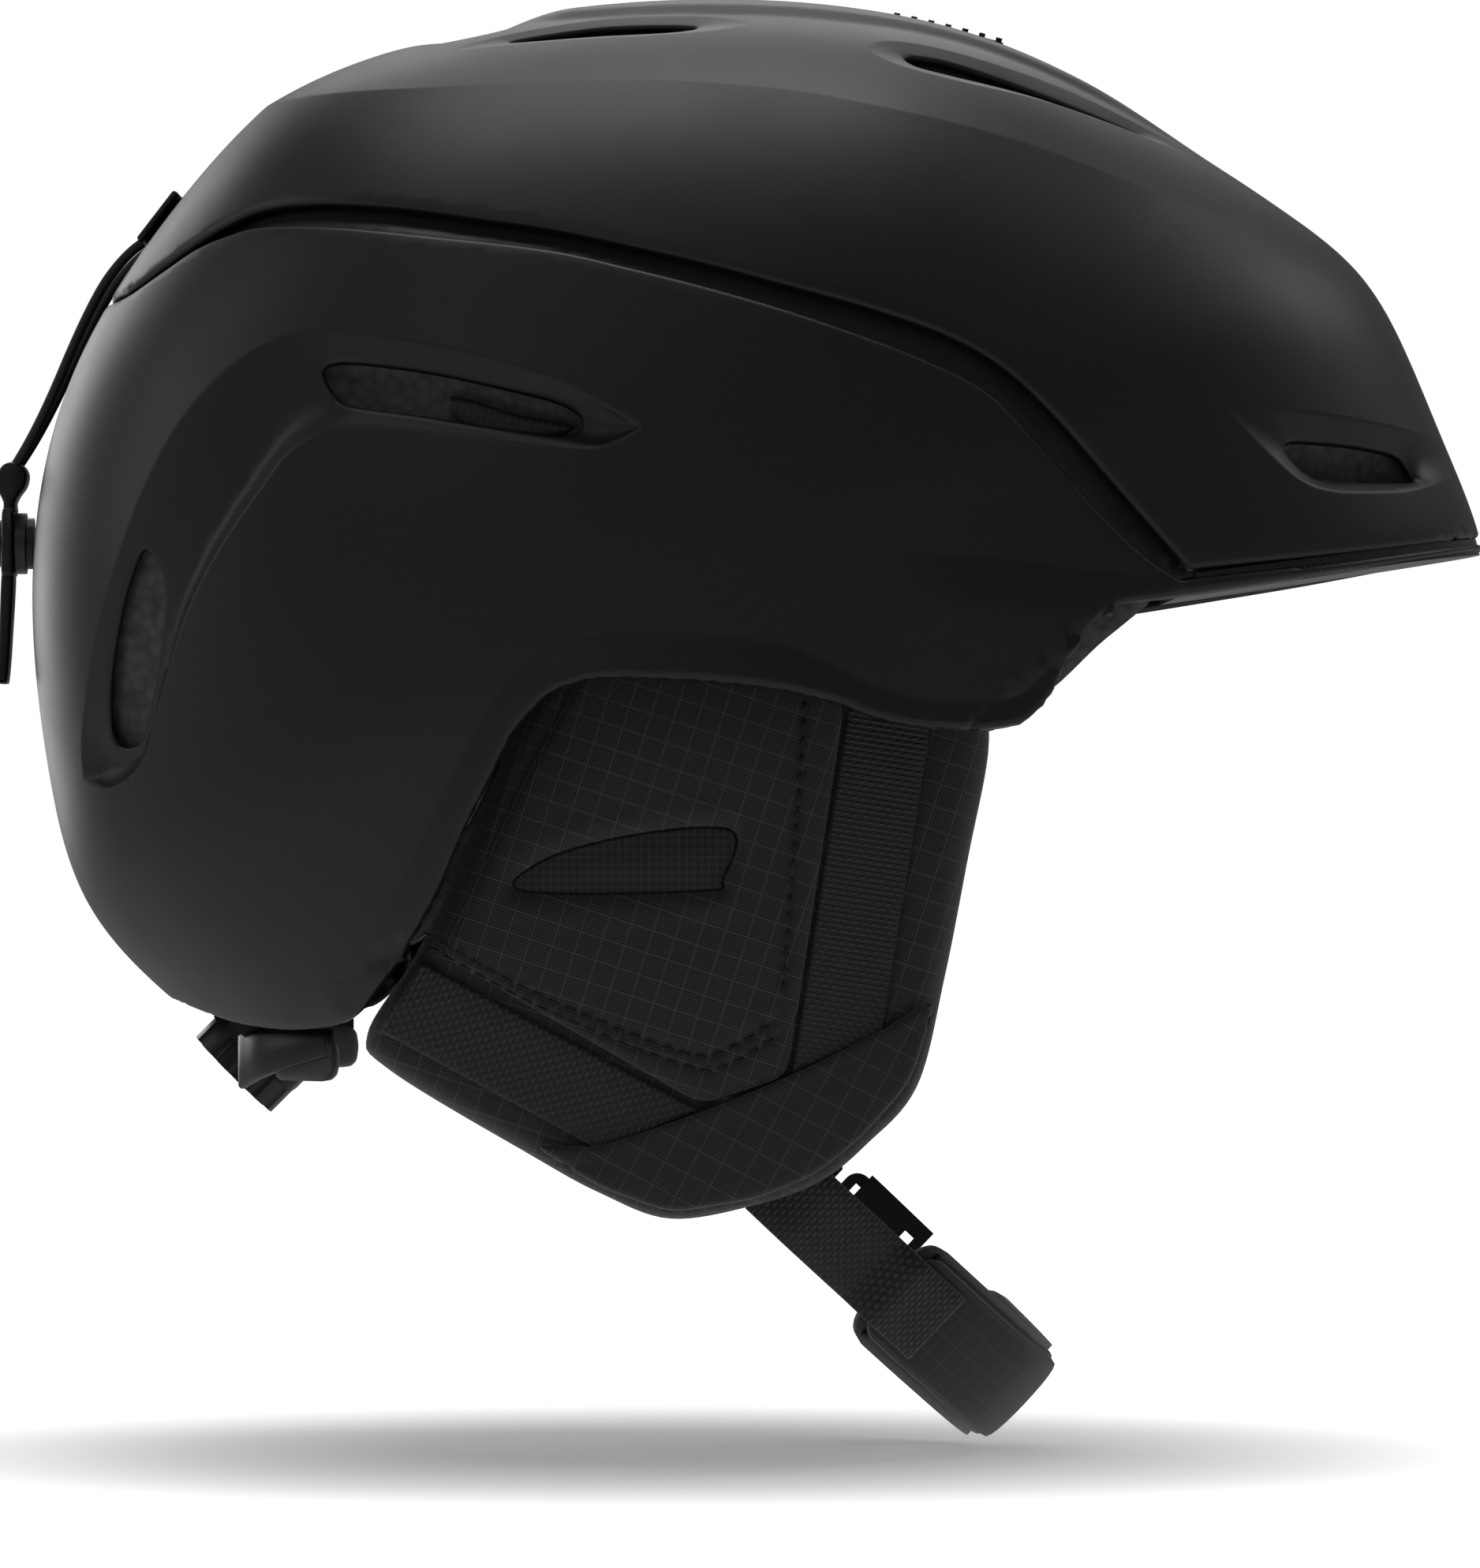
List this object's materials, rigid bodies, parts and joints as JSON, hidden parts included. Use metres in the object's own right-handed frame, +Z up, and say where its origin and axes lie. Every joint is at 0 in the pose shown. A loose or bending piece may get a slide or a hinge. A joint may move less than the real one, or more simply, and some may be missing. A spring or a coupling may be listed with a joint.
{
  "type": "ski helmet",
  "caption": "Half-shell ski helmet with short visor, side and crown vents, vent slider, rear goggle strap keeper, nape dial fit, ear pads and padded chin strap with buckle.",
  "frame": {"origin": "middle of the head opening, level with the brow band, on the helmet's plane of symmetry", "axes": "+X the way the wearer faces, +Y to the wearer's left, +Z up"},
  "size_m": [0.2909, 0.2142, 0.2814],
  "materials": {
    "shell": "matt, finely textured",
    "gutter": "satin",
    "trim": "satin",
    "foam": "fine beaded grain",
    "mesh": "open square mesh",
    "lining": "brushed knit",
    "pad": "soft foam under knit",
    "panel": "ripstop weave",
    "webbing": "plain woven webbing",
    "cord": "round elastic cord",
    "snap": "satin"
  },
  "bodies": {
    "helmet": {"upper_shell": "shell", "lower_shell": "shell", "channel_band": "gutter", "brim_base": "trim", "foam_liner": "foam", "vent_screens": "mesh", "brow_pad": "lining", "crown_pad": "lining", "temple_pads": "lining", "slider_frame": "trim", "keeper_anchor": "trim", "keeper_stud": "trim"},
    "vent_control": {"slider_knob": "trim", "slider_post": "trim", "vent_shutter": "trim"},
    "keeper": {"keeper_cord": "cord", "keeper_tab": "trim", "keeper_socket": "snap", "keeper_cap": "snap"},
    "fit_cradle": {"fit_housing": "trim"},
    "fit_knob": {"fit_dial": "trim", "fit_pinion": "trim"},
    "fit_arm_left": {"fit_arm_left": "trim", "fit_pad_left": "lining"},
    "fit_arm_right": {"fit_arm_right": "trim", "fit_pad_right": "lining"},
    "ear_pad_left": {"ear_lining_left": "lining", "ear_foam_left": "pad", "ear_panel_left": "panel", "ear_mesh_left": "mesh", "ear_webbing_front_left": "webbing", "ear_webbing_rear_left": "webbing", "ear_cuff_left": "panel", "ear_clips_left": "trim"},
    "ear_pad_right": {"ear_lining_right": "lining", "ear_foam_right": "pad", "ear_panel_right": "panel", "ear_mesh_right": "mesh", "ear_webbing_front_right": "webbing", "ear_webbing_rear_right": "webbing", "ear_cuff_right": "panel", "ear_clips_right": "trim"},
    "chin_strap_left": {"chin_webbing_left": "webbing", "buckle_cap": "trim"},
    "chin_strap_right": {"chin_webbing_right": "webbing", "chin_pad_cover": "panel", "chin_pad_fleece": "lining", "buckle_base": "trim"}
  },
  "joints": [
    {"name": "vent_slider", "type": "hinge", "parent": "helmet", "child": "vent_control", "pos_m": [0.003, 0, -0.118], "axis": [0, -1, 0], "range_deg": [0, 2.4]},
    {"name": "keeper_swing", "type": "hinge", "parent": "helmet", "child": "keeper", "pos_m": [-0.099, 0, 0.069], "axis": [0, 1, 0], "range_deg": [0, 100]},
    {"name": "fit_height", "type": "slide", "parent": "helmet", "child": "fit_cradle", "axis": [0.7071, 0, -0.7071], "range_m": [0, 0.01]},
    {"name": "fit_dial_turn", "type": "hinge", "parent": "fit_cradle", "child": "fit_knob", "pos_m": [-0.07425, 0, -0.08627], "axis": [0.7071, 0, 0.7071], "range_deg": [0, 101.8]},
    {"name": "fit_arm_left_slide", "type": "slide", "parent": "fit_cradle", "child": "fit_arm_left", "axis": [0, -1, 0], "range_m": [0, 0.008]},
    {"name": "fit_arm_right_slide", "type": "slide", "parent": "fit_cradle", "child": "fit_arm_right", "axis": [0, 1, 0], "range_m": [0, 0.008]},
    {"name": "ear_pad_left_splay", "type": "hinge", "parent": "helmet", "child": "ear_pad_left", "pos_m": [0, 0.086, -0.009], "axis": [1, 0, 0], "range_deg": [0, 14]},
    {"name": "ear_pad_right_splay", "type": "hinge", "parent": "helmet", "child": "ear_pad_right", "pos_m": [0, -0.086, -0.009], "axis": [-1, 0, 0], "range_deg": [0, 14]},
    {"name": "chin_strap_left_swing", "type": "hinge", "parent": "ear_pad_left", "child": "chin_strap_left", "pos_m": [0.0306, 0.066, -0.1165], "axis": [0.6884, 0, 0.7254], "range_deg": [0, 50]},
    {"name": "chin_strap_right_swing", "type": "hinge", "parent": "ear_pad_right", "child": "chin_strap_right", "pos_m": [0.0306, -0.066, -0.1165], "axis": [-0.6884, 0, -0.7254], "range_deg": [0, 60]}
  ],
  "couplings": [
    {"joint": "fit_arm_left_slide", "follows": "fit_dial_turn", "m_per_rad": 0.0045},
    {"joint": "fit_arm_right_slide", "follows": "fit_dial_turn", "m_per_rad": 0.0045}
  ]
}
